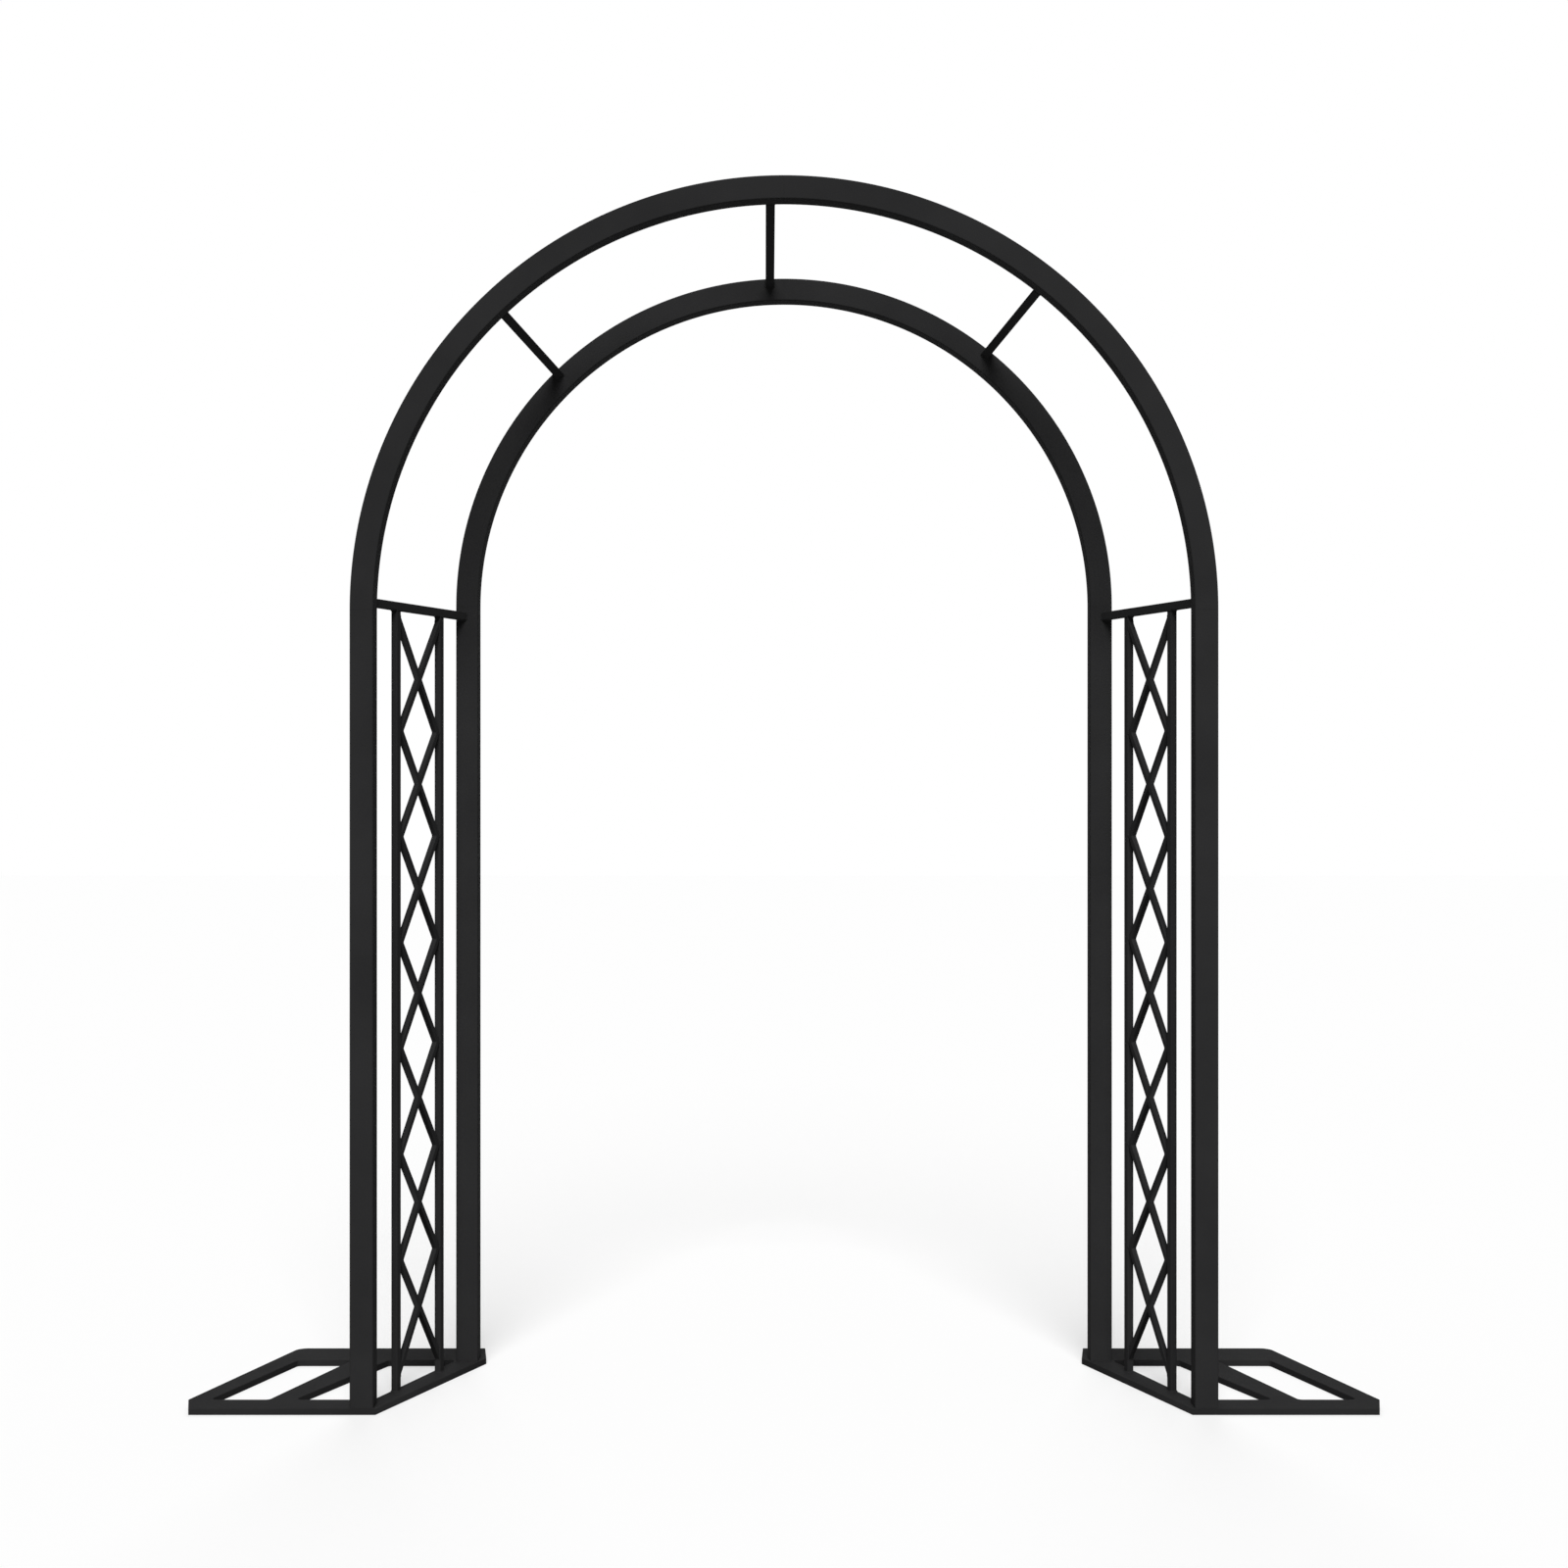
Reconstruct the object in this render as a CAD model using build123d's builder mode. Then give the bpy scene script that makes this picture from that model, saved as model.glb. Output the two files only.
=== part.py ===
from build123d import *
import math
import os

# A free-standing wedding arch of welded and pushed-together steel parts.
# Two round-topped arches of square tube, a larger one in front and a smaller
# one behind, stand on two flat foot plates. An open lattice panel closes the
# gap between the front and the back post on each side.
#
# Frame: millimetres, X to the right, Y to the back, Z up. The origin is the
# middle of the footprint, on the floor. Depths are read from the front face
# of the arch, and the function "at" turns them into Y.

# Square tube of both arches
tube_size = 42.0
tube_wall = 1.5
tube_corner = 1.5

# Front arch, the larger one, flush with the front of the foot plates
front_radius = 750.0
front_spring_height = 1429.0

# Back arch, the smaller one
back_radius = 610.0
back_spring_rise = 35.0
arch_spacing = 337.0

# Sleeves that hold the tubes together, and the pegs that hold the posts
sleeve_wall = 2.0
sleeve_reach = 45.0
sleeve_clearance = 0.4
peg_height = 60.0

# Foot plates, front to back
plate_thickness = 12.0
plate_edge_break = 1.0
plate_corner_radius = 25.0
window_corner_radius = 9.0
front_bar_depth = 60.0
back_bar_depth = 95.0
back_knee_depth = 77.5
back_toe = 63.0

# Foot plates, sideways: distances from the panel's middle line
inside_at_front = 34.0
inside_at_knee = 31.0
front_end_outside = 298.0
back_end_outside = 13.5
side_at_front = 338.5
side_at_back = 379.5
inner_bar_at_front = 5.5
inner_bar_at_back = 17.0
middle_bar_inside = 147.0
middle_bar_at_front = 193.5
middle_bar_at_back = 218.0
outer_bar_at_front = 299.5
outer_bar_at_back = 322.0

# Lattice panels
cross_bar_size = 15.0
cross_bar_rise = 16.0
stile_size = 13.0
stile_spacing = 150.0
stile_corner = 1.0
lattice_bar = 10.5
lattice_foot_gap = 42.0
lattice_top_gap = 25.5
lattice_crossings = 7
lattice_bend_inset = 5.3
lattice_bend_radius = 3.0

# Rungs between the two arches, with the angles of their ends from the crown
rung_size = 16.0
rung_inset = 12.0
rung_left_front_angle = -43.3
rung_left_back_angle = -44.2
rung_top_front_angle = -1.9
rung_top_back_angle = -2.5
rung_right_front_angle = 38.4
rung_right_back_angle = 38.7

# Sizes that follow from the ones above
half_tube = tube_size / 2
bore_size = tube_size - 2 * tube_wall
sleeve_size = bore_size - 2 * sleeve_clearance
sleeve_hole = sleeve_size - 2 * sleeve_wall
front_depth = half_tube
back_depth = front_depth + arch_spacing
plate_depth = back_depth + half_tube + back_toe
back_spring_height = front_spring_height + back_spring_rise
panel_step = front_radius - back_radius
panel_length = math.hypot(arch_spacing, panel_step)
cross_bar_height = front_spring_height + cross_bar_rise
panel_top = cross_bar_height - cross_bar_size / 2
lattice_bottom = plate_thickness + lattice_foot_gap
lattice_top = panel_top - lattice_top_gap
lattice_half_width = (stile_spacing - stile_size) / 2
lattice_reach = lattice_half_width - lattice_bend_inset
lattice_pitch = (lattice_top - lattice_bottom) / lattice_crossings


def at(x, depth):
    """Plan position of a point read at a depth behind the front face."""
    return (x, depth - plate_depth / 2)


def panel_x(depth):
    """X of the left panel's middle line at a depth."""
    return (depth - front_depth) * panel_step / arch_spacing - front_radius


def beside(outside, depth):
    """Plan position at a distance outside the left panel's middle line."""
    return at(panel_x(depth) - outside, depth)


def save(piece, name):
    """Label a finished piece and write it."""
    piece.label = name
    export_step(piece, "parts/" + name + ".step")


def square_section(size, corner):
    """Square with broken corners, for the sketch that is open."""
    square = Rectangle(size, size)
    chamfer(square.vertices(), corner)


def tube_section():
    """Section of the square tube."""
    square_section(tube_size, tube_corner)
    Rectangle(bore_size, bore_size, mode=Mode.SUBTRACT)


def fixed_section():
    """Section of the half of a sleeve that stays fixed in its own tube."""
    Rectangle(bore_size, bore_size)
    Rectangle(sleeve_hole, sleeve_hole, mode=Mode.SUBTRACT)


def loose_section():
    """Section of the half of a sleeve that slides into the next tube."""
    Rectangle(sleeve_size, sleeve_size)
    Rectangle(sleeve_hole, sleeve_hole, mode=Mode.SUBTRACT)


def build_plate():
    """Left foot plate: one flat plate with two windows and two tube pegs."""
    windows_end = plate_depth - back_bar_depth
    edge = [
        beside(-inside_at_front, 0),
        beside(front_end_outside, 0),
        beside(side_at_front, front_bar_depth),
        beside(side_at_back, plate_depth),
        beside(back_end_outside, plate_depth),
        beside(-inside_at_knee, plate_depth - back_knee_depth),
    ]
    inner_window = [
        beside(inner_bar_at_front, front_bar_depth),
        beside(middle_bar_inside, front_bar_depth),
        beside(middle_bar_inside, windows_end),
        beside(inner_bar_at_back, windows_end),
    ]
    outer_window = [
        beside(middle_bar_at_front, front_bar_depth),
        beside(outer_bar_at_front, front_bar_depth),
        beside(outer_bar_at_back, windows_end),
        beside(middle_bar_at_back, windows_end),
    ]
    with BuildPart() as plate:
        with BuildSketch() as outline:
            Polygon(*edge, align=None)
            back_corners = outline.vertices().group_by(Axis.Y)[-1]
            fillet(back_corners.sort_by(Axis.X)[0], plate_corner_radius)
        extrude(amount=plate_thickness)
        with BuildSketch() as windows:
            Polygon(*inner_window, align=None)
            Polygon(*outer_window, align=None)
            fillet(windows.vertices(), window_corner_radius)
        extrude(amount=plate_thickness, mode=Mode.SUBTRACT)
        chamfer(plate.edges().group_by(Axis.Z)[-1], plate_edge_break)
        for x, depth in ((-front_radius, front_depth), (-back_radius, back_depth)):
            x, y = at(x, depth)
            with BuildSketch(Plane((x, y, plate_thickness))):
                loose_section()
            extrude(amount=peg_height)
    return plate.part


def build_post(radius, depth, top):
    """Left post of an arch, open at both ends."""
    x, y = at(-radius, depth)
    with BuildPart() as post:
        with BuildSketch(Plane((x, y, plate_thickness))):
            tube_section()
        extrude(amount=top - plate_thickness)
    return post.part


def build_quarter(radius, spring_height, depth, crown_sleeve):
    """Left curved length of an arch, from the post up to the crown."""
    x, y = at(-radius, depth)
    seam = Plane((x, y, spring_height))
    crown = Plane((0, y, spring_height + radius), x_dir=(0, 1, 0), z_dir=(1, 0, 0))
    turn = Axis((0, y, spring_height), (0, 1, 0))
    reach = math.degrees(sleeve_reach / radius)
    with BuildPart() as quarter:
        with BuildSketch(seam):
            tube_section()
        revolve(axis=turn, revolution_arc=90)
        with BuildSketch(seam):
            fixed_section()
        revolve(axis=turn, revolution_arc=reach)
        with BuildSketch(seam):
            loose_section()
        extrude(amount=-sleeve_reach)
        if crown_sleeve:
            with BuildSketch(crown):
                fixed_section()
            revolve(axis=turn, revolution_arc=-reach)
            with BuildSketch(crown):
                loose_section()
            revolve(axis=turn, revolution_arc=reach)
    return quarter.part


def build_cross_bar():
    """Left top bar of a panel, cut to the faces of the two posts."""
    start = front_depth + half_tube
    end = back_depth - half_tube
    half = cross_bar_size / 2 * panel_length / arch_spacing
    corners = [
        beside(half, start),
        beside(half, end),
        beside(-half, end),
        beside(-half, start),
    ]
    with BuildPart() as bar:
        with BuildSketch(Plane.XY.offset(panel_top)):
            Polygon(*corners, align=None)
        extrude(amount=cross_bar_size)
    return bar.part


def panel_plane(along, height):
    """Level plane on the left panel's middle line, turned to follow it."""
    depth = (front_depth + back_depth) / 2 + along * arch_spacing / panel_length
    x, y = beside(0, depth)
    return Plane((x, y, height), x_dir=(panel_step, arch_spacing, 0), z_dir=(0, 0, 1))


def build_stile(along):
    """Left upright rod of a panel, from the foot plate to the cross bar."""
    with BuildPart() as stile:
        with BuildSketch(panel_plane(along, plate_thickness)):
            square_section(stile_size, stile_corner)
        extrude(amount=panel_top - plate_thickness)
    return stile.part


def zigzag(side):
    """Outline of one zigzag bar. Its first bend is on the given side."""
    half = lattice_bar / 2 * math.hypot(2 * lattice_reach, lattice_pitch) / lattice_pitch
    line = []
    for step in range(lattice_crossings + 1):
        line.append((side * lattice_reach, lattice_bottom + step * lattice_pitch))
        side = -side
    # Both ends run on in line, past the faces of the stiles.
    for end, inner in ((0, 1), (-1, -2)):
        x = line[end][0] + (line[end][0] - line[inner][0]) / 6
        z = line[end][1] + (line[end][1] - line[inner][1]) / 6
        line[end] = (x, z)
    outline = [(x + half, z) for x, z in line]
    outline += [(x - half, z) for x, z in reversed(line)]
    return outline


def build_lattice():
    """Left lattice: two zigzag bars that cross between the stiles."""
    level = panel_plane(0, 0)
    upright = Plane(level.origin, x_dir=level.x_dir, z_dir=level.x_dir.cross(Vector(0, 0, 1)))
    middle = (lattice_bottom + lattice_top) / 2
    height = lattice_top - lattice_bottom + lattice_pitch
    with BuildPart() as lattice:
        with BuildSketch(upright) as net:
            Polygon(*zigzag(1), align=None)
            Polygon(*zigzag(-1), align=None)
            # The bars are cut flush with the faces of the stiles.
            with Locations((0, middle)):
                Rectangle(2 * lattice_half_width, height, mode=Mode.INTERSECT)
            columns = net.vertices().group_by(Axis.X)
            fillet(columns[1] + columns[-2], lattice_bend_radius)
        extrude(amount=lattice_bar / 2, both=True)
    return lattice.part


def build_rung(front_angle, back_angle):
    """Square bar from the back of the front arch to the face of the back one."""
    start = front_depth + half_tube
    end = back_depth - half_tube
    ends = (
        (start, front_spring_height, front_radius - rung_inset, front_angle),
        (end, back_spring_height, back_radius + rung_inset, back_angle),
    )
    turn = -(front_angle + back_angle) / 2
    with BuildPart() as rung:
        for depth, height, reach, angle in ends:
            x = reach * math.sin(math.radians(angle))
            z = height + reach * math.cos(math.radians(angle))
            y = at(0, depth)[1]
            face = Plane((x, y, z), x_dir=(1, 0, 0), z_dir=(0, -1, 0))
            with BuildSketch(face):
                Rectangle(rung_size, rung_size, rotation=turn)
        loft()
    return rung.part


def mirrored(left_part):
    """The same piece on the right-hand side."""
    with BuildPart() as right:
        mirror(left_part, about=Plane.YZ)
    return right.part


def save_pair(left_part, name):
    """Write the left piece and its mirror image."""
    save(left_part, name + "_left")
    save(mirrored(left_part), name + "_right")


os.makedirs("parts", exist_ok=True)

save_pair(build_plate(), "foot_plate")

arches = (
    ("front", front_radius, front_spring_height, front_depth),
    ("back", back_radius, back_spring_height, back_depth),
)
for name, radius, spring_height, depth in arches:
    left_quarter = build_quarter(radius, spring_height, depth, True)
    right_quarter = mirrored(build_quarter(radius, spring_height, depth, False))
    save_pair(build_post(radius, depth, spring_height), name + "_post")
    save(left_quarter, name + "_arch_tube_left")
    save(right_quarter, name + "_arch_tube_right")

save_pair(build_cross_bar(), "cross_bar")
save_pair(build_stile(-stile_spacing / 2), "front_stile")
save_pair(build_stile(stile_spacing / 2), "back_stile")
save_pair(build_lattice(), "lattice")

save(build_rung(rung_left_front_angle, rung_left_back_angle), "rung_left")
save(build_rung(rung_top_front_angle, rung_top_back_angle), "rung_top")
save(build_rung(rung_right_front_angle, rung_right_back_angle), "rung_right")
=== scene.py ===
import math

import bmesh
import bpy
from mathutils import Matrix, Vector


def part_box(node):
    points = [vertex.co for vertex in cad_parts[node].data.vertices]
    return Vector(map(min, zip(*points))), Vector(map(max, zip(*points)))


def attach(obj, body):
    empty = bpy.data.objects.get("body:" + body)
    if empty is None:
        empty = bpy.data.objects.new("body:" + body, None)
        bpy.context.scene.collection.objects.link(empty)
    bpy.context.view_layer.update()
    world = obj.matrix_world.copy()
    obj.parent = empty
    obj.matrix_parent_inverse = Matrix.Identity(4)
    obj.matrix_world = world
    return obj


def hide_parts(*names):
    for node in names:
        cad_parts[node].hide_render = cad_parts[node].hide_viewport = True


# Looks of the wedding arch. Everything is in metres, in the frame of the
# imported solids. Each solid is stood for by a piece with its true rounded
# edges, and weld beads and screws are added where the parts meet.

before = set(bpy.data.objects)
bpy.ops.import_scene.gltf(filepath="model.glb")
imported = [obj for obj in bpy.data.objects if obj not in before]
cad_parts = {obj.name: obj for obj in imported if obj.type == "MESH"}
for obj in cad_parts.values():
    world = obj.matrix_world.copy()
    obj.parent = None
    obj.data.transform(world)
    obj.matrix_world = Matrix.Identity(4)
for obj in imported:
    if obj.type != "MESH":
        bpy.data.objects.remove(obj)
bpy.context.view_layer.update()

MM = 0.001
X_AXIS = Vector((1, 0, 0))
Y_AXIS = Vector((0, 1, 0))
Z_AXIS = Vector((0, 0, 1))

# Words that the names of the solids are made of
SIDES = ("left", "right")
ARCHES = ("front", "back")
RUNGS = ("left", "top", "right")

# Points and levels that are closer than this count as the same. Equal ones
# are gathered by rounding them to this many decimals.
CLOSE = 0.01 * MM
DECIMALS = 5

# Least cosine between a direction and the normal of a face that looks that way
FACING = 0.99

# Camera, where the photograph was seen from
LENS = 51.61
SENSOR_WIDTH = 36.0
CAMERA_PLACE = (0.0, -4.208, 1.083)
CAMERA_SHIFT_UP = 0.0131
CAMERA_REACH = 200.0

# Light, with its angles in degrees
WORLD_LEVEL = 0.15
FRONT_LIGHT = 3.3
BACK_LIGHT = 0.75
LIGHT_HEIGHT = 40.0
LIGHT_SOFTNESS = 30.0

# Floor
FLOOR_SIZE = 60.0
FLOOR_WHITE_SHARE = 0.5
FLOOR_BOUNCE = 0.3

# Square tube, and the sleeves and pegs inside it
TUBE_CORNER = 2.6 * MM
TUBE_WALL = 1.5 * MM
TUBE_BORE_CORNER = 1.1 * MM
TUBE_END_ROUND = 0.35 * MM
SLEEVE_GAP = 0.4 * MM
SLEEVE_WALL = 2.0 * MM
SLEEVE_CORNER = 2.0 * MM

# Solid bars and plates
BAR_CORNER = 1.3 * MM
BAR_END_ROUND = 0.5 * MM
PLATE_TOP_ROUND = 1.3 * MM
PLATE_FOOT_ROUND = 0.7 * MM
LATTICE_ROUND = 1.2 * MM

# Steps that long and round forms are divided into
CORNER_STEPS = 4
END_STEPS = 3
ARC_STEPS = 112
SLEEVE_STEPS = 8
STRAIGHT_STEPS = 2

# Weld beads round the ends of bars. The root is how deep a bead sits in the
# parts that it joins.
WELD_SIZE = 2.0 * MM
STILE_WELD_SIZE = 1.7 * MM
LATTICE_WELD_SIZE = 1.4 * MM
WELD_ROOT = 0.8 * MM
WELD_CORNER_SHARE = 0.125

# Ripples of a bead: their length, and their height as a share of its size
RIPPLE_LENGTH = 2.4 * MM
RIPPLE_STEPS = 6
RIPPLE_SHARE = 0.12
UNEVEN_SHARE = 0.06
UNEVEN_PACE = 1.7

# Section of a bead, hollow in the middle: the angles of its points in degrees,
# and its reach as shares of its size. The toes add theirs to the middle's.
SECTION_TURNS = (5, 27, 50, 73, 85)
SECTION_MIDDLE = 0.72
SECTION_TOE = 0.2
SECTION_TOP = 0.9

# Beads in the corners where two lattice bars cross, with their forms as
# shares of their width. The crossings lie in a band along the panel's middle.
CROSSING_BAND = 30.0 * MM
CROSSING_WELD_WIDTH = 3.2 * MM
CROSSING_STEPS = 8
CROSSING_FILL = 0.7
CROSSING_SWELL = 0.3
CROSSING_RIPPLE = 0.05
CROSSING_RIPPLE_TURNS = 1.25
CROSSING_BULGE = 0.15

# Button-head screws: a low rim, a dome that ends at an angle in degrees, and
# a socket. With SCREW_SIDES a multiple of six, the socket has sharp corners.
SCREW_RADIUS = 5.2 * MM
SCREW_SEAT = 0.5 * MM
SCREW_RIM = 0.3 * MM
SCREW_DOME = 2.95 * MM
DOME_END = 60.0
DOME_STEPS = 6
SOCKET_SIZE = 2.0 * MM
SOCKET_EDGE = 0.1 * MM
SOCKET_DEPTH = 1.8 * MM
SCREW_SIDES = 24

# Places of the screws, as shares of the peg's height and the sleeve's reach
PEG_SCREW_PLACE = 0.6
SLEEVE_SCREW_PLACE = 0.5

# Powder coat: noise scales are per metre, and spans are of noise values. The
# orange peel is PEEL_SIZE times as coarse as the grain.
CLOUD_SCALE = 7.0
CLOUD_SPAN = (0.3, 0.7)
SPECK_SPAN = (0.35, 0.75)
SPECK_SHARE = 0.6
GLOSS_SPAN = (0.3, 0.7)
GLOSS_SPREAD = 0.05
PEEL_SIZE = 3
PEEL_DEPTH = 0.35 * MM
GRAIN_DEPTH = 0.2 * MM

# How much the large flat faces lead the shading of the round edges
FLATS_WEIGHT = 80


# Materials

class Nodes:
    """Helper that adds and joins the nodes of a material or a world."""

    def __init__(self, tree):
        self.tree = tree
        self.tree.nodes.clear()

    def add(self, kind, **values):
        """Add a node and set its sockets; underscores stand for spaces."""
        node = self.tree.nodes.new(kind)
        for key, value in values.items():
            node.inputs[key.replace("_", " ")].default_value = value
        return node

    def join(self, source, target):
        """Join an output to an input."""
        self.tree.links.new(source, target)

    def stretch(self, source, span, new_span):
        """Stretch a span of values to a new span. Values outside stop at its ends."""
        node = self.add("ShaderNodeMapRange", From_Min=span[0], From_Max=span[1],
                        To_Min=new_span[0], To_Max=new_span[1])
        self.join(source, node.inputs["Value"])
        return node.outputs["Result"]

    def larger(self, first, second):
        """The larger one of two values."""
        node = self.add("ShaderNodeMath")
        node.operation = "MAXIMUM"
        self.join(first, node.inputs[0])
        self.join(second, node.inputs[1])
        return node.outputs[0]


def new_material(name):
    """Empty material, and the helper for its nodes."""
    material = bpy.data.materials.new(name)
    material.use_nodes = True
    return material, Nodes(material.node_tree)


def coat_shade(nodes, broad, fine, dark, light):
    """Shade of the coat: slow changes of its thickness, and pale specks."""
    cloud = nodes.stretch(broad, CLOUD_SPAN, (0, 1))
    speck = nodes.stretch(fine, SPECK_SPAN, (0, 1))
    mixture = nodes.add("ShaderNodeMix", Factor=SPECK_SHARE)
    nodes.join(cloud, mixture.inputs["A"])
    nodes.join(speck, mixture.inputs["B"])
    shade = nodes.add("ShaderNodeValToRGB")
    shade.color_ramp.elements[0].color = dark
    shade.color_ramp.elements[1].color = light
    nodes.join(mixture.outputs["Result"], shade.inputs["Fac"])
    return shade.outputs["Color"]


def coat_relief(nodes, peel, fine):
    """Relief of the coat: its orange peel, with the fine grain on top."""
    peel_bump = nodes.add("ShaderNodeBump", Strength=0.5, Distance=PEEL_DEPTH)
    nodes.join(peel, peel_bump.inputs["Height"])
    grain_bump = nodes.add("ShaderNodeBump", Strength=0.7, Distance=GRAIN_DEPTH)
    nodes.join(fine, grain_bump.inputs["Height"])
    nodes.join(peel_bump.outputs["Normal"], grain_bump.inputs["Normal"])
    return grain_bump.outputs["Normal"]


def powder_coat(name, dark, light, roughness, specular, grain):
    """Low-gloss powder coat: orange-peel skin, fine grain, uneven gloss."""
    material, nodes = new_material(name)
    place = nodes.add("ShaderNodeTexCoord").outputs["Object"]
    peel = nodes.add("ShaderNodeTexNoise", Scale=grain / PEEL_SIZE, Detail=3.0, Roughness=0.45)
    fine = nodes.add("ShaderNodeTexNoise", Scale=grain, Detail=2.0, Roughness=0.6)
    broad = nodes.add("ShaderNodeTexNoise", Scale=CLOUD_SCALE, Detail=4.0, Roughness=0.55)
    for texture in (peel, fine, broad):
        nodes.join(place, texture.inputs["Vector"])
    shade = coat_shade(nodes, broad.outputs["Fac"], fine.outputs["Fac"], dark, light)
    gloss = nodes.stretch(fine.outputs["Fac"], GLOSS_SPAN,
                          (roughness - GLOSS_SPREAD, roughness + GLOSS_SPREAD))
    relief = coat_relief(nodes, peel.outputs["Fac"], fine.outputs["Fac"])
    shader = nodes.add("ShaderNodeBsdfPrincipled", Specular_IOR_Level=specular)
    nodes.join(shade, shader.inputs["Base Color"])
    nodes.join(gloss, shader.inputs["Roughness"])
    nodes.join(relief, shader.inputs["Normal"])
    output = nodes.add("ShaderNodeOutputMaterial")
    nodes.join(shader.outputs["BSDF"], output.inputs["Surface"])
    return material


coat = powder_coat("powder_coat", dark=(0.0185, 0.0185, 0.019, 1),
                   light=(0.03, 0.03, 0.0305, 1), roughness=0.92, specular=0.02,
                   grain=1100.0)
screw_coat = powder_coat("screw_coat", dark=(0.016, 0.016, 0.016, 1),
                         light=(0.026, 0.026, 0.027, 1), roughness=0.5, specular=0.25,
                         grain=2500.0)


# Measures of the solids

def centre_of(node):
    """Middle of a solid's box."""
    low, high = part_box(node)
    return (low + high) / 2


def upright_ends(node):
    """Lowest and highest middle points of an upright solid."""
    low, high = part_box(node)
    middle = (low + high) / 2
    return Vector((middle.x, middle.y, low.z)), Vector((middle.x, middle.y, high.z))


def extent(node, direction):
    """Size of a solid along a direction."""
    levels = [vert.co.dot(direction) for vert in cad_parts[node].data.vertices]
    return max(levels) - min(levels)


def tube_size(arch, side):
    """Outside width of an arch's tube."""
    low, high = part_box(f"{arch}_post_{side}")
    return high.x - low.x


def sleeve_reach(arch, side):
    """How far the sleeve of a curved tube reaches down into the post."""
    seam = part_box(f"{arch}_post_{side}")[1].z
    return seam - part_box(f"{arch}_arch_tube_{side}")[0].z


def plate_top(side):
    """Level of the top of a foot plate, where the posts stand."""
    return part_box(f"front_post_{side}")[0].z


def peg_height(side):
    """Height of the pegs above the top of the foot plate."""
    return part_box(f"foot_plate_{side}")[1].z - plate_top(side)


def panel_directions(side):
    """Direction along a panel, front to back, and the one across it, inwards."""
    way = centre_of(f"back_post_{side}") - centre_of(f"front_post_{side}")
    way.z = 0
    way.normalize()
    across = Z_AXIS.cross(way)
    if across.x * centre_of(f"front_post_{side}").x > 0:
        across.negate()
    return way, across


def end_face(node, level):
    """Centre and two sides of a bar's end face, at a level of Y."""
    corners = {}
    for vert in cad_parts[node].data.vertices:
        if abs(vert.co.y - level) < CLOSE:
            corners[tuple(round(value, DECIMALS) for value in vert.co)] = vert.co.copy()
    centre = sum(corners.values(), Vector()) / len(corners)
    turned = sorted(corners.values(), key=lambda c: math.atan2(c.z - centre.z, c.x - centre.x))
    return centre, turned[1] - turned[0], turned[2] - turned[1]


def bar_ends(node):
    """Front and back end face of a bar between the arches."""
    low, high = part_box(node)
    return end_face(node, low.y), end_face(node, high.y)


# Outlines, rings and skins

def rounded_rectangle(width, height, corner):
    """Outline of a rectangle with round corners, anticlockwise."""
    points = []
    for quarter, (side, rise) in enumerate(((1, 1), (-1, 1), (-1, -1), (1, -1))):
        middle_x = side * (width / 2 - corner)
        middle_y = rise * (height / 2 - corner)
        for step in range(CORNER_STEPS + 1):
            turn = math.radians(90 * (quarter + step / CORNER_STEPS))
            points.append((middle_x + corner * math.cos(turn),
                           middle_y + corner * math.sin(turn)))
    return points


def ring_at(station, width, height, corner):
    """Ring of points at a station: its centre and its two directions."""
    centre, across, up = station
    outline = rounded_rectangle(width, height, corner)
    return [centre + x * across + y * up for x, y in outline]


def end_rings(radius):
    """Distance from the end and inset of each ring that rounds an end."""
    turns = [math.radians(90 * i / END_STEPS) for i in range(END_STEPS, -1, -1)]
    return [(radius * (1 - math.sin(turn)), radius * (1 - math.cos(turn))) for turn in turns]


def all_rings(length, steps, radius):
    """Distance along and inset of every ring of a bar or tube."""
    start = end_rings(radius)
    middle = [(radius + (length - 2 * radius) * i / steps, 0) for i in range(1, steps)]
    end = [(length - away, inset) for away, inset in reversed(start)]
    return start + middle + end


def skin(shape, rings, closed):
    """Join rings of points, each to the next. The ends are capped or joined."""
    rows = [[shape.verts.new(point) for point in ring] for ring in rings]
    pairs = list(zip(rows, rows[1:]))
    if closed:
        pairs.append((rows[-1], rows[0]))
    else:
        shape.faces.new(rows[0])
        shape.faces.new(rows[-1])
    count = len(rows[0])
    for first, second in pairs:
        for i in range(count):
            j = (i + 1) % count
            shape.faces.new((first[i], first[j], second[j], second[i]))


def finish_piece(name, shape, material, nodes):
    """Turn a finished shape into a piece on the root body."""
    bmesh.ops.recalc_face_normals(shape, faces=shape.faces)
    mesh = bpy.data.meshes.new(name)
    shape.to_mesh(mesh)
    shape.free()
    for polygon in mesh.polygons:
        polygon.use_smooth = True
    mesh.materials.append(material)
    piece = bpy.data.objects.new(name, mesh)
    bpy.context.scene.collection.objects.link(piece)
    weighted = piece.modifiers.new("even_flats", "WEIGHTED_NORMAL")
    weighted.mode = "FACE_AREA"
    weighted.weight = FLATS_WEIGHT
    if nodes:
        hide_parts(*nodes)
    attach(piece, "root")


# Bars and tubes

def straight(start, end, across, up):
    """Place function of a straight run from start to end."""
    way = (end - start).normalized()
    return lambda distance: (start + distance * way, across, up)


def add_bar(shape, place, length, width, height):
    """Solid bar that follows place, a function of the distance along."""
    rings = []
    for distance, inset in all_rings(length, STRAIGHT_STEPS, BAR_END_ROUND):
        rings.append(ring_at(place(distance), width - 2 * inset, height - 2 * inset,
                             BAR_CORNER - inset))
    skin(shape, rings, False)


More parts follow.
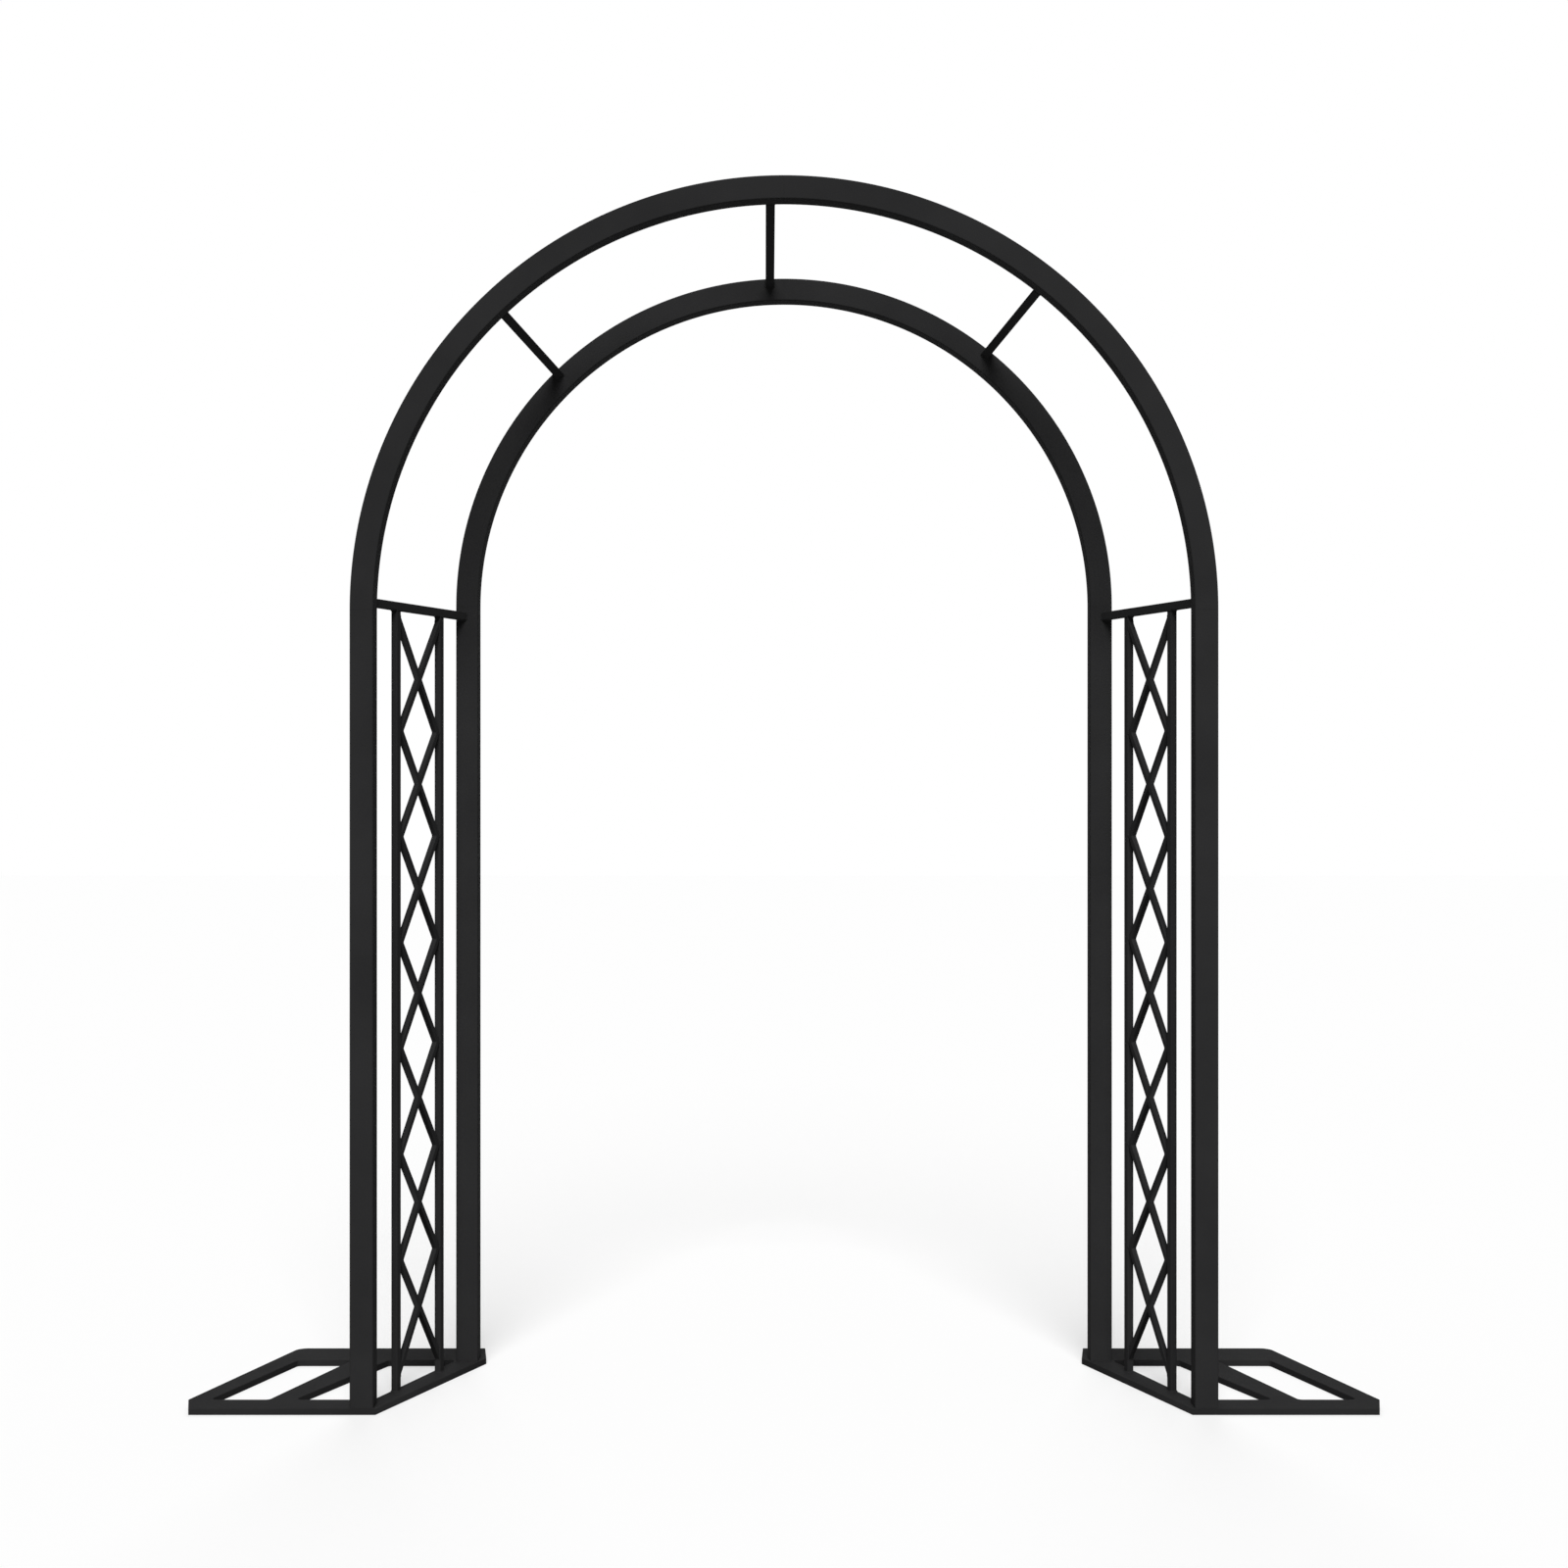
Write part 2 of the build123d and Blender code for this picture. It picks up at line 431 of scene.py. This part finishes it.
def add_tube(shape, place, length, steps, size, corner, wall):
    """Hollow square tube, open at both ends."""
    outside = []
    inside = []
    bore = size - 2 * wall
    for distance, inset in all_rings(length, steps, TUBE_END_ROUND):
        station = place(distance)
        width = size - 2 * inset
        outside.append(ring_at(station, width, width, corner - inset))
        inside.append(ring_at(station, bore, bore, TUBE_BORE_CORNER))
    skin(shape, outside + inside[::-1], True)


def add_sleeve(shape, place, length, outer_size):
    """Smaller tube that fits inside a tube of the given size."""
    size = outer_size - 2 * TUBE_WALL - 2 * SLEEVE_GAP
    add_tube(shape, place, length, SLEEVE_STEPS, size, SLEEVE_CORNER, SLEEVE_WALL)


def build_bar(name, node):
    """Straight bar from the front arch to the back arch."""
    (start, width, height), (end, _, _) = bar_ends(node)
    place = straight(start, end, width.normalized(), height.normalized())
    shape = bmesh.new()
    add_bar(shape, place, (end - start).length, width.length, height.length)
    finish_piece(name, shape, coat, [node])


def build_stile(end, side):
    """Upright rod at the front or the back end of a panel."""
    node = f"{end}_stile_{side}"
    foot, head = upright_ends(node)
    way, across = panel_directions(side)
    size = extent(node, way)
    shape = bmesh.new()
    add_bar(shape, straight(foot, head, way, across), head.z - foot.z, size, size)
    finish_piece(f"{end}_stile_rod_{side}", shape, coat, [node])


def build_post(arch, side):
    """Post of an arch, standing on the foot plate."""
    node = f"{arch}_post_{side}"
    foot, head = upright_ends(node)
    shape = bmesh.new()
    add_tube(shape, straight(foot, head, X_AXIS, Y_AXIS), head.z - foot.z, STRAIGHT_STEPS,
             tube_size(arch, side), TUBE_CORNER, TUBE_WALL)
    finish_piece(f"{arch}_post_tube_{side}", shape, coat, [node])


def arc_place(arch, side):
    """Place function of a curved tube from the head of its post, and its radius."""
    head = upright_ends(f"{arch}_post_{side}")[1]
    radius = abs(head.x)
    out = math.copysign(1, head.x)

    def place(distance):
        if distance < 0:
            return head + distance * Z_AXIS, out * X_AXIS, Y_AXIS
        turn = distance / radius
        outward = Vector((out * math.cos(turn), 0, math.sin(turn)))
        return Vector((0, head.y, head.z)) + radius * outward, outward, Y_AXIS

    return place, radius


def build_quarter(arch, side):
    """Curved tube from the post to the crown, with its sleeves inside."""
    place, radius = arc_place(arch, side)
    length = radius * math.pi / 2
    size = tube_size(arch, side)
    reach = sleeve_reach(arch, side)
    shape = bmesh.new()
    add_tube(shape, place, length, ARC_STEPS, size, TUBE_CORNER, TUBE_WALL)
    add_sleeve(shape, lambda distance: place(distance - reach), 2 * reach, size)
    # One sleeve joins both halves at the crown, and the left one carries it.
    if side == "left":
        add_sleeve(shape, lambda distance: place(length - reach + distance), 2 * reach, size)
    finish_piece(f"{arch}_round_tube_{side}", shape, coat, [f"{arch}_arch_tube_{side}"])


# Plates and lattices, cut to the outline of a solid's flat face

def outer_faces(solid, direction):
    """Faces that lie flat at a mesh's outermost level, in the mesh's order."""
    level = max(vert.co.dot(direction) for vert in solid.verts)
    faces = []
    for face in solid.faces:
        outermost = abs(face.calc_center_median().dot(direction) - level) < CLOSE
        if outermost and face.normal.dot(direction) > FACING:
            faces.append(face)
    return faces


def border_loops(faces):
    """Vertex numbers along each closed border of a group of faces."""
    group = set(faces)
    following = {}
    for face in faces:
        for corner in face.loops:
            if not group.issuperset(corner.edge.link_faces):
                following[corner.vert.index] = corner.link_loop_next.vert.index
    loops = []
    while following:
        loop = [next(iter(following))]
        while loop[-1] in following:
            loop.append(following.pop(loop[-1]))
        loops.append(loop[:-1])
    return loops


def flat_face(node, direction):
    """Points, triangles and borders of a solid's outermost flat face."""
    solid = bmesh.new()
    solid.from_mesh(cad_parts[node].data)
    bmesh.ops.remove_doubles(solid, verts=solid.verts, dist=CLOSE)
    solid.normal_update()
    faces = outer_faces(solid, direction)
    points = {vert.index: vert.co.copy() for face in faces for vert in face.verts}
    triangles = [[vert.index for vert in face.verts] for face in faces]
    loops = border_loops(faces)
    solid.free()
    return points, triangles, loops


def inward(points, loop, i, direction):
    """Step into the material that keeps an equal distance to both edges."""
    here = points[loop[i]]
    before = (here - points[loop[i - 1]]).normalized()
    after = (points[loop[(i + 1) % len(loop)]] - here).normalized()
    first = direction.cross(before)
    second = direction.cross(after)
    return (first + second) / (1 + first.dot(second))


def add_slab(shape, node, direction, thickness, near_round, far_round):
    """Flat plate with round edges, from the solid's flat face in a direction."""
    points, triangles, loops = flat_face(node, direction)
    near = end_rings(near_round)
    far = [(thickness - away, inset) for away, inset in reversed(end_rings(far_round))]
    near_row = {}
    far_row = {}
    for loop in loops:
        steps = [inward(points, loop, i, direction) for i in range(len(loop))]
        rows = []
        for depth, inset in near + far:
            rows.append([shape.verts.new(points[number] + inset * step - depth * direction)
                         for number, step in zip(loop, steps)])
        near_row.update(zip(loop, rows[0]))
        far_row.update(zip(loop, rows[-1]))
        for first, second in zip(rows, rows[1:]):
            for i in range(len(loop)):
                shape.faces.new((first[i - 1], first[i], second[i], second[i - 1]))
    for triangle in triangles:
        shape.faces.new([near_row[number] for number in triangle])
        shape.faces.new([far_row[number] for number in reversed(triangle)])


def build_plate(side):
    """Foot plate with its two windows, and the pegs inside the posts."""
    node = f"foot_plate_{side}"
    thickness = plate_top(side)
    height = peg_height(side)
    shape = bmesh.new()
    add_slab(shape, node, -Z_AXIS, thickness, PLATE_FOOT_ROUND, PLATE_TOP_ROUND)
    for arch in ARCHES:
        foot = upright_ends(f"{arch}_post_{side}")[0]
        peg = straight(foot, foot + height * Z_AXIS, X_AXIS, Y_AXIS)
        add_sleeve(shape, peg, height, tube_size(arch, side))
    finish_piece(f"foot_plate_steel_{side}", shape, coat, [node])


def build_lattice(side):
    """Crossed zigzag bars of a panel."""
    node = f"lattice_{side}"
    across = panel_directions(side)[1]
    shape = bmesh.new()
    add_slab(shape, node, across, extent(node, across), LATTICE_ROUND, LATTICE_ROUND)
    finish_piece(f"lattice_bars_{side}", shape, coat, [node])


# Weld beads

def walk_outline(width, height, corner, count):
    """Evenly spaced points on a rounded rectangle, with their outward steps."""
    corners = rounded_rectangle(width, height, corner)
    corners.append(corners[0])
    lengths = [math.dist(first, second) for first, second in zip(corners, corners[1:])]
    total = sum(lengths)
    points = []
    edge = 0
    passed = 0
    for i in range(count):
        target = total * i / count
        while passed + lengths[edge] < target:
            passed += lengths[edge]
            edge += 1
        share = (target - passed) / lengths[edge]
        first = Vector(corners[edge])
        second = Vector(corners[edge + 1])
        way = (second - first).normalized()
        points.append((first + share * (second - first), Vector((way.y, -way.x))))
    return points


def bead_section(reach):
    """Section of a bead, as steps out from the bar's side and up the bar."""
    section = [(-WELD_ROOT, -WELD_ROOT), (reach, -WELD_ROOT)]
    for turn in SECTION_TURNS:
        bulge = reach * (SECTION_MIDDLE + SECTION_TOE * abs(math.cos(math.radians(2 * turn))))
        section.append((bulge * math.cos(math.radians(turn)),
                        bulge * math.sin(math.radians(turn))))
    section.append((-WELD_ROOT, SECTION_TOP * reach))
    return section


def add_weld(shape, centre, away, across, width, height, size):
    """Rippled bead all round a bar, where its end meets a flat face."""
    up = away.cross(across)
    count = RIPPLE_STEPS * round((2 * width + 2 * height) / RIPPLE_LENGTH)
    corner = WELD_CORNER_SHARE * min(width, height)
    rings = []
    for i, (point, outward) in enumerate(walk_outline(width, height, corner, count)):
        base = centre + point.x * across + point.y * up
        out = outward.x * across + outward.y * up
        ripple = RIPPLE_SHARE * math.cos(math.tau * i / RIPPLE_STEPS)
        uneven = UNEVEN_SHARE * math.sin(UNEVEN_PACE * i)
        section = bead_section(size * (1 + ripple + uneven))
        rings.append([base + step * out + rise * away for step, rise in section])
    skin(shape, rings, True)


def weld_bar(shape, node):
    """Beads at both ends of a bar between the arches."""
    for (centre, width, height), away in zip(bar_ends(node), (Y_AXIS, -Y_AXIS)):
        add_weld(shape, centre, away, width.normalized(), width.length, height.length,
                 WELD_SIZE)


def weld_rungs():
    """Beads of the three rungs."""
    shape = bmesh.new()
    for name in RUNGS:
        weld_bar(shape, f"rung_{name}")
    finish_piece("weld_beads_rungs", shape, coat, [])


def weld_stile(shape, node, way):
    """Beads at the foot and the head of a stile."""
    foot, head = upright_ends(node)
    size = extent(node, way)
    add_weld(shape, foot, Z_AXIS, way, size, size, STILE_WELD_SIZE)
    add_weld(shape, head, -Z_AXIS, way, size, size, STILE_WELD_SIZE)


def weld_bends(shape, node, way, across):
    """Beads where the bends of the lattice touch the stiles."""
    points = [vert.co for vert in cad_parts[node].data.vertices]
    thickness = extent(node, across)
    for out in (way, -way):
        level = max(point.dot(out) for point in points)
        touching = [point for point in points if abs(point.dot(out) - level) < CLOSE]
        heights = sorted(set(round(point.z, DECIMALS) for point in touching))
        middle = sum(touching, Vector()) / len(touching)
        for low, high in zip(heights[::2], heights[1::2]):
            centre = Vector((middle.x, middle.y, (low + high) / 2))
            add_weld(shape, centre, -out, across, thickness, high - low, LATTICE_WELD_SIZE)


def crossing_fill(share):
    """Share of its full width that a crossing's bead has, at a share of its length."""
    swell = CROSSING_SWELL * math.sin(math.pi * share)
    ripple = CROSSING_RIPPLE * math.cos(math.tau * CROSSING_RIPPLE_TURNS * share)
    return CROSSING_FILL + swell + ripple


def add_crossing_weld(shape, corner, first, second, across, thickness):
    """Short bead that fills an inside corner between two walls."""
    out = (first + second).normalized()
    sideways = (first - second).normalized()
    reach = CROSSING_WELD_WIDTH / (first - second).length
    rings = []
    for step in range(CROSSING_STEPS + 1):
        share = step / CROSSING_STEPS
        fill = crossing_fill(share)
        base = corner - (LATTICE_ROUND + share * (thickness - 2 * LATTICE_ROUND)) * across
        one = base + fill * reach * first
        two = base + fill * reach * second
        ring = [base - WELD_ROOT * out, one + WELD_ROOT / 2 * sideways]
        for aside in (-0.5, 0, 0.5):
            bulge = CROSSING_BULGE * (1 - aside * aside) * CROSSING_WELD_WIDTH
            ring.append((one + two) / 2 - aside * fill * CROSSING_WELD_WIDTH * sideways
                        + bulge * out)
        ring.append(two - WELD_ROOT / 2 * sideways)
        rings.append(ring)
    skin(shape, rings, False)


def weld_crossings(shape, node, way, across):
    """Beads in the four corners of each place where two lattice bars cross."""
    points, _, loops = flat_face(node, across)
    middle = centre_of(node)
    thickness = extent(node, across)
    for loop in loops:
        for i, number in enumerate(loop):
            corner = points[number]
            if abs((corner - middle).dot(way)) < CROSSING_BAND / 2:
                before = points[loop[i - 1]] - corner
                after = points[loop[(i + 1) % len(loop)]] - corner
                add_crossing_weld(shape, corner, before.normalized(), after.normalized(),
                                  across, thickness)


def weld_panel(side):
    """Beads of a panel: cross bar, stile ends, lattice bends and crossings."""
    way, across = panel_directions(side)
    lattice = f"lattice_{side}"
    shape = bmesh.new()
    weld_bar(shape, f"cross_bar_{side}")
    for end in ARCHES:
        weld_stile(shape, f"{end}_stile_{side}", way)
    weld_bends(shape, lattice, way, across)
    weld_crossings(shape, lattice, way, across)
    finish_piece(f"weld_beads_{side}", shape, coat, [])


# Screws

def round_ring(radius):
    """Points of a circle round a screw's middle."""
    turns = [math.tau * i / SCREW_SIDES for i in range(SCREW_SIDES)]
    return [(radius * math.cos(turn), radius * math.sin(turn)) for turn in turns]


def six_sided_ring(radius):
    """Points of a hexagon round a screw's middle, with its flat sides at a radius."""
    points = []
    for i, (x, y) in enumerate(round_ring(radius)):
        # Degrees between a point and the middle of its flat side
        from_flat = (360 * i / SCREW_SIDES) % 60 - 30
        reach = 1 / math.cos(math.radians(from_flat))
        points.append((x * reach, y * reach))
    return points


def screw_rings():
    """Rings of a button-head screw and its socket, each with its height."""
    rings = [(round_ring(SCREW_RADIUS), -SCREW_SEAT)]
    for step in range(DOME_STEPS + 1):
        turn = math.radians(DOME_END * step / DOME_STEPS)
        height = SCREW_RIM + SCREW_DOME * math.sin(turn)
        rings.append((round_ring(SCREW_RADIUS * math.cos(turn)), height))
    top = rings[-1][1]
    rings.append((six_sided_ring(SOCKET_SIZE + SOCKET_EDGE), top))
    rings.append((six_sided_ring(SOCKET_SIZE), top - 2 * SOCKET_EDGE))
    rings.append((six_sided_ring(SOCKET_SIZE), top - SOCKET_DEPTH))
    return rings


def add_screw(shape, centre, out, up):
    """Button-head screw, seated on a flat face."""
    side = out.cross(up)
    rings = []
    for ring, height in screw_rings():
        rings.append([centre + x * side + y * up + height * out for x, y in ring])
    skin(shape, rings, False)


def build_screws(arch):
    """Screws at the back of an arch: post feet, post heads and crown."""
    to_back = tube_size(arch, "right") / 2 * Y_AXIS
    shape = bmesh.new()
    for side in SIDES:
        foot, head = upright_ends(f"{arch}_post_{side}")
        foot.z += PEG_SCREW_PLACE * peg_height(side)
        head.z -= SLEEVE_SCREW_PLACE * sleeve_reach(arch, side)
        add_screw(shape, foot + to_back, Y_AXIS, Z_AXIS)
        add_screw(shape, head + to_back, Y_AXIS, Z_AXIS)
    # The crown's sleeve is fixed in the left half, so its screw is in the right.
    place, radius = arc_place(arch, "right")
    from_crown = SLEEVE_SCREW_PLACE * sleeve_reach(arch, "right")
    centre, outward, _ = place(radius * math.pi / 2 - from_crown)
    add_screw(shape, centre + to_back, Y_AXIS, outward)
    finish_piece(f"joint_screws_{arch}", shape, screw_coat, [])


# Floor, light and camera

def white_to_eye(nodes):
    """1 for rays from the camera, from a reflection or through glass."""
    path = nodes.add("ShaderNodeLightPath")
    first = nodes.larger(path.outputs["Is Camera Ray"], path.outputs["Is Glossy Ray"])
    return nodes.larger(first, path.outputs["Is Transmission Ray"])


def floor_material():
    """Plain pale floor. A share of its white is its own, so shadows stay soft."""
    material, nodes = new_material("pale_floor")
    seen = white_to_eye(nodes)
    colour = nodes.add("ShaderNodeMix")
    colour.data_type = "RGBA"
    colour.inputs["A"].default_value = (FLOOR_BOUNCE, FLOOR_BOUNCE, FLOOR_BOUNCE, 1)
    colour.inputs["B"].default_value = (1, 1, 1, 1)
    nodes.join(seen, colour.inputs["Factor"])
    lit = nodes.add("ShaderNodeBsdfDiffuse")
    nodes.join(colour.outputs["Result"], lit.inputs["Color"])
    white = nodes.add("ShaderNodeEmission")
    mixed = nodes.add("ShaderNodeMixShader")
    nodes.join(nodes.stretch(seen, (0, 1), (0, FLOOR_WHITE_SHARE)), mixed.inputs[0])
    nodes.join(lit.outputs["BSDF"], mixed.inputs[1])
    nodes.join(white.outputs["Emission"], mixed.inputs[2])
    output = nodes.add("ShaderNodeOutputMaterial")
    nodes.join(mixed.outputs["Shader"], output.inputs["Surface"])
    return material


def build_floor():
    """Large level floor under the arch."""
    half = FLOOR_SIZE / 2
    mesh = bpy.data.meshes.new("floor")
    corners = [(-half, -half, 0), (half, -half, 0), (half, half, 0), (-half, half, 0)]
    mesh.from_pydata(corners, [], [(0, 1, 2, 3)])
    mesh.materials.append(floor_material())
    floor = bpy.data.objects.new("floor", mesh)
    bpy.context.scene.collection.objects.link(floor)


def build_world():
    """White background that lights the arch softly, at a lower level."""
    world = bpy.data.worlds.new("studio")
    world.use_nodes = True
    nodes = Nodes(world.node_tree)
    level = nodes.stretch(white_to_eye(nodes), (0, 1), (WORLD_LEVEL, 1))
    background = nodes.add("ShaderNodeBackground", Color=(1, 1, 1, 1))
    nodes.join(level, background.inputs["Strength"])
    output = nodes.add("ShaderNodeOutputWorld")
    nodes.join(background.outputs["Background"], output.inputs["Surface"])
    bpy.context.scene.world = world


def build_light(name, level, turn):
    """Large soft light, turned about the upright axis."""
    lamp = bpy.data.lights.new(name, "SUN")
    lamp.energy = level
    lamp.angle = math.radians(LIGHT_SOFTNESS)
    light = bpy.data.objects.new(name, lamp)
    light.rotation_euler = (math.radians(90 - LIGHT_HEIGHT), 0, math.radians(turn))
    bpy.context.scene.collection.objects.link(light)


def build_camera():
    """Camera at the photograph's place, looking level at the arch."""
    data = bpy.data.cameras.new("camera")
    data.lens = LENS
    data.sensor_width = SENSOR_WIDTH
    data.shift_y = CAMERA_SHIFT_UP
    data.clip_end = CAMERA_REACH
    camera = bpy.data.objects.new("camera", data)
    camera.location = CAMERA_PLACE
    camera.rotation_euler = (math.radians(90), 0, 0)
    bpy.context.scene.collection.objects.link(camera)
    bpy.context.scene.camera = camera


# Making of the pieces

for side in SIDES:
    build_plate(side)
    for arch in ARCHES:
        build_post(arch, side)
        build_quarter(arch, side)
        build_stile(arch, side)
    build_bar(f"cross_bar_rod_{side}", f"cross_bar_{side}")
    build_lattice(side)
for name in RUNGS:
    build_bar(f"rung_rod_{name}", f"rung_{name}")

weld_rungs()
for side in SIDES:
    weld_panel(side)
for arch in ARCHES:
    build_screws(arch)

# Making of the surroundings

build_floor()
build_world()
build_light("front_light", FRONT_LIGHT, 0)
build_light("back_light", BACK_LIGHT, 180)
build_camera()
bpy.context.scene.view_settings.view_transform = "Standard"
